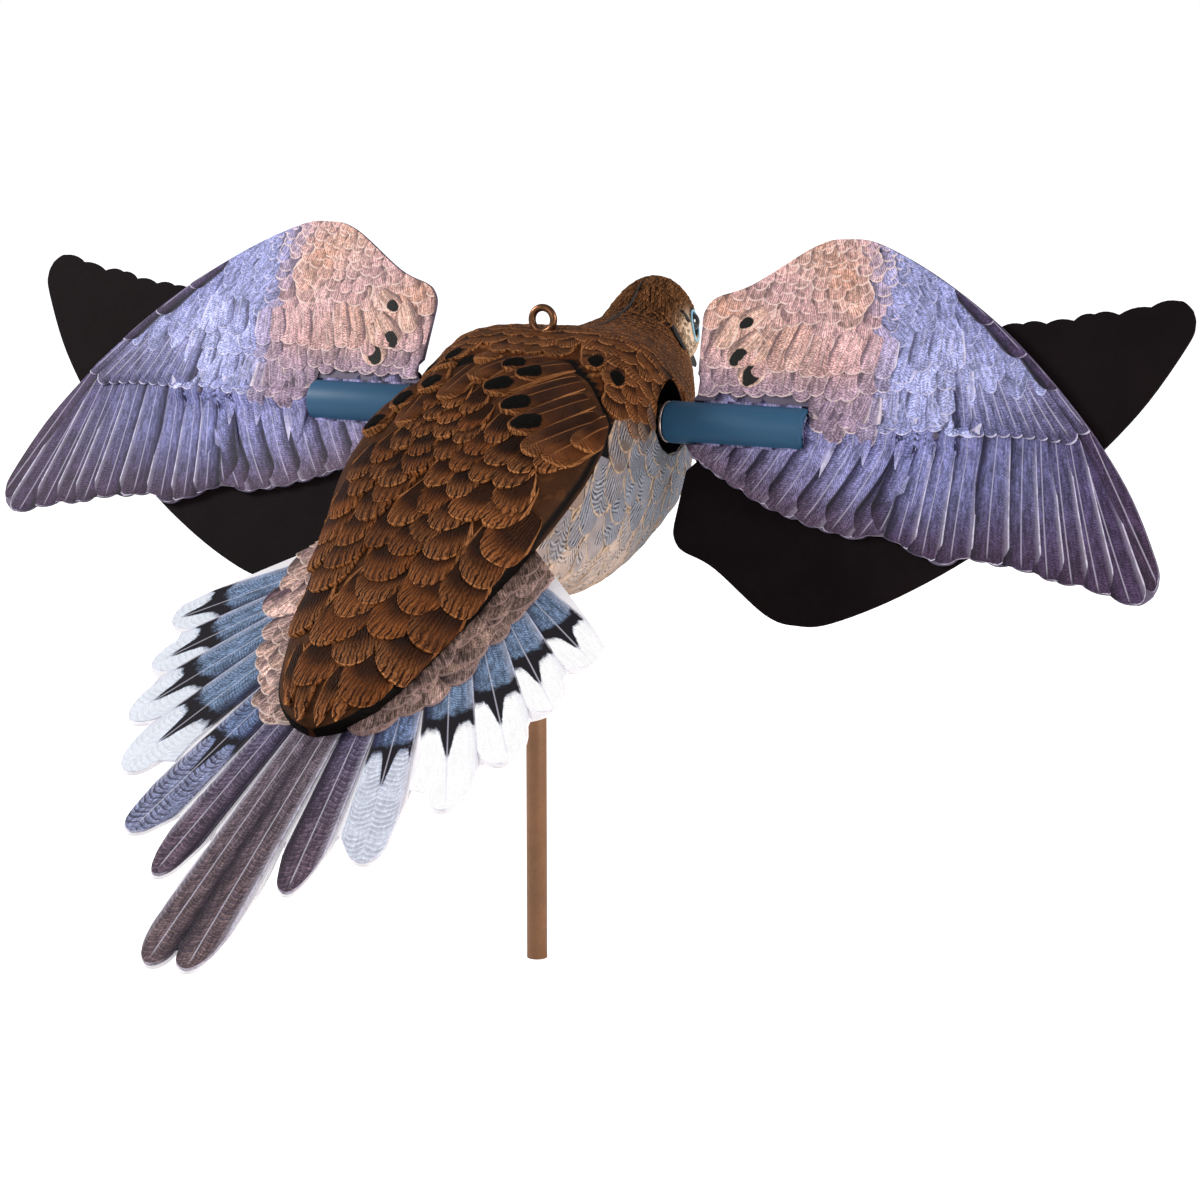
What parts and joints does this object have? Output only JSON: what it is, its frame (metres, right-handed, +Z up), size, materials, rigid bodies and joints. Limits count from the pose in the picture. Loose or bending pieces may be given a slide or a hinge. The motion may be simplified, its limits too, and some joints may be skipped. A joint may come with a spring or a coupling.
{
  "type": "motion dove decoy",
  "caption": "Flying dove decoy on a ground pole, with a flat tail fan and flat wing blades that spin on a cross shaft.",
  "frame": {"origin": "centre of the pole's cut foot, at the ground", "axes": "+Z up along the pole, -Y the way the dove faces, +X to the dove's left along the wing shaft"},
  "size_m": [0.4902, 0.3908, 0.2786],
  "materials": {
    "moulding": "dry-brushed brown paint, pale blue-grey belly",
    "tail_print": "printed sheet",
    "wing_print": "printed sheet",
    "dark_sheet": "matt, almost black",
    "bronze": "brown plated",
    "steel": "satin",
    "sleeve": "satin blue-grey",
    "pole": "tan paint"
  },
  "bodies": {
    "decoy": {"decoy_body": "moulding", "tail_fan": "tail_print", "hanging_ring": "bronze", "pole": "pole"},
    "wings": {"wing_shaft": "steel", "wing_hub_left": "steel", "wing_hub_right": "steel", "wing_sleeve_left": "sleeve", "wing_sleeve_right": "sleeve", "printed_blade_left": "wing_print", "printed_blade_right": "wing_print", "dark_blade_left": "dark_sheet", "dark_blade_right": "dark_sheet"}
  },
  "joints": [
    {"name": "wing_spin", "type": "hinge", "parent": "decoy", "child": "wings", "pos_m": [0, -0.014, 0.21], "axis": [1, 0, 0], "continuous": true}
  ]
}
